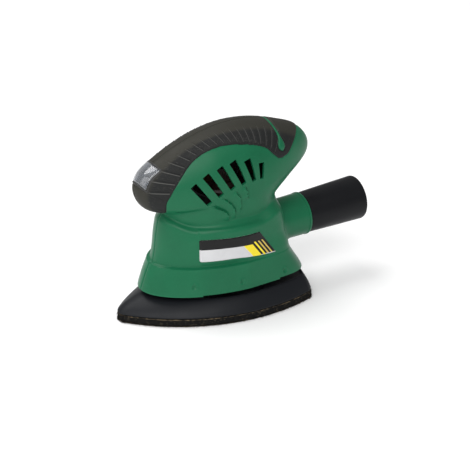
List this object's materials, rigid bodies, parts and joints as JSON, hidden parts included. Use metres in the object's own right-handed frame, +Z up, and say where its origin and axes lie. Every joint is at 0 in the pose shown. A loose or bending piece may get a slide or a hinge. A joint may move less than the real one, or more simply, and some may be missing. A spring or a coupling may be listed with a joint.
{
  "type": "detail sander",
  "caption": "Palm-grip delta sander: upright motor, orbiting flat-iron pad, ribbed rubber grip, nose switch under a clear boot and a plug-in dust adapter.",
  "frame": {"origin": "motor axis at the sanding face", "axes": "+X forward to the point of the pad, +Y to the side with the identity plate, +Z up along the motor shaft"},
  "size_m": [0.1943, 0.0882, 0.1298],
  "materials": {
    "green_body": "satin moulded, green",
    "black_plastic": "satin moulded, black",
    "black_rubber": "ribbed soft-touch overmould",
    "clear_boot": "clear, glossy",
    "rocker_plastic": "smooth black",
    "badge_silver": "printed silver foil",
    "black_foam": "closed-cell foam with hook face",
    "sanding_grit": "coated abrasive on hook backing",
    "steel": "machined",
    "cast_alloy": "die cast",
    "brass": "stamped",
    "copper": "enamelled wire",
    "lamination_steel": "stacked sheet",
    "carbon": "pressed carbon",
    "capacitor_yellow": "moulded case",
    "lead_brown": "wire insulation",
    "lead_blue": "wire insulation"
  },
  "bodies": {
    "housing": {"left_housing": "green_body", "right_housing": "green_body", "left_grip": "black_rubber", "right_grip": "black_rubber", "switch_boot": "clear_boot", "switch_body": "black_plastic", "dust_duct": "black_plastic", "terminal_block": "black_plastic", "cord_inlet_bush": "black_plastic", "badge_plate": "badge_silver", "dust_seal": "black_foam", "support_leg_front": "black_foam", "support_leg_rear_left": "black_foam", "support_leg_rear_right": "black_foam", "bearing_sleeve": "black_foam", "lower_bearing_outer_ring": "steel", "upper_bearing_outer_ring": "steel", "brush_spring_front": "steel", "brush_spring_rear": "steel", "housing_screw_1": "steel", "housing_screw_2": "steel", "housing_screw_3": "steel", "housing_screw_4": "steel", "housing_screw_5": "steel", "housing_screw_6": "steel", "bearing_plate": "cast_alloy", "brush_holder_front": "brass", "brush_holder_rear": "brass", "field_coil_left": "copper", "field_coil_right": "copper", "stator_stack": "lamination_steel", "capacitor": "capacitor_yellow", "lead_live": "lead_brown", "lead_neutral": "lead_blue"},
    "rotor": {"motor_shaft": "steel", "eccentric_hub": "steel", "counterweight": "brass", "cooling_fan": "black_plastic", "pad_bearing_inner_ring": "steel", "pad_washer": "steel", "pad_screw": "steel", "lower_bearing_inner_ring": "steel", "upper_bearing_inner_ring": "steel", "armature_core": "lamination_steel", "winding_lower": "copper", "winding_upper": "copper", "commutator": "copper"},
    "pad": {"pad_plate": "black_plastic", "hook_layer": "black_foam", "sanding_sheet": "sanding_grit", "pad_bearing_outer_ring": "steel"},
    "rocker": {"switch_rocker": "rocker_plastic"},
    "adapter": {"dust_adapter": "black_plastic"},
    "brush_front": {"carbon_brush_front": "carbon"},
    "brush_rear": {"carbon_brush_rear": "carbon"}
  },
  "joints": [
    {"name": "motor_spin", "type": "hinge", "parent": "housing", "child": "rotor", "pos_m": [0, 0, 0.06], "axis": [0, 0, 1], "continuous": true},
    {"name": "pad_orbit", "type": "hinge", "parent": "rotor", "child": "pad", "pos_m": [0.001, 0, 0.013], "axis": [0, 0, 1], "continuous": true, "deforming": ["support_leg_front", "support_leg_rear_left", "support_leg_rear_right"]},
    {"name": "rocker_press", "type": "hinge", "parent": "housing", "child": "rocker", "pos_m": [0.05315, 0, 0.09845], "axis": [0, -1, 0], "range_deg": [0, 14]},
    {"name": "adapter_pull", "type": "slide", "parent": "housing", "child": "adapter", "axis": [-0.9984, 0, 0.0558], "range_m": [0, 0.04]},
    {"name": "brush_front_wear", "type": "slide", "parent": "housing", "child": "brush_front", "axis": [1, 0, 0], "range_m": [0, 0.0035], "stiffness_N_per_m": 150, "springref_m": -0.004, "deforming": ["brush_spring_front"]},
    {"name": "brush_rear_wear", "type": "slide", "parent": "housing", "child": "brush_rear", "axis": [-1, 0, 0], "range_m": [0, 0.0035], "stiffness_N_per_m": 150, "springref_m": -0.004, "deforming": ["brush_spring_rear"]}
  ],
  "couplings": [
    {"joint": "pad_orbit", "follows": "motor_spin", "ratio": -1}
  ]
}
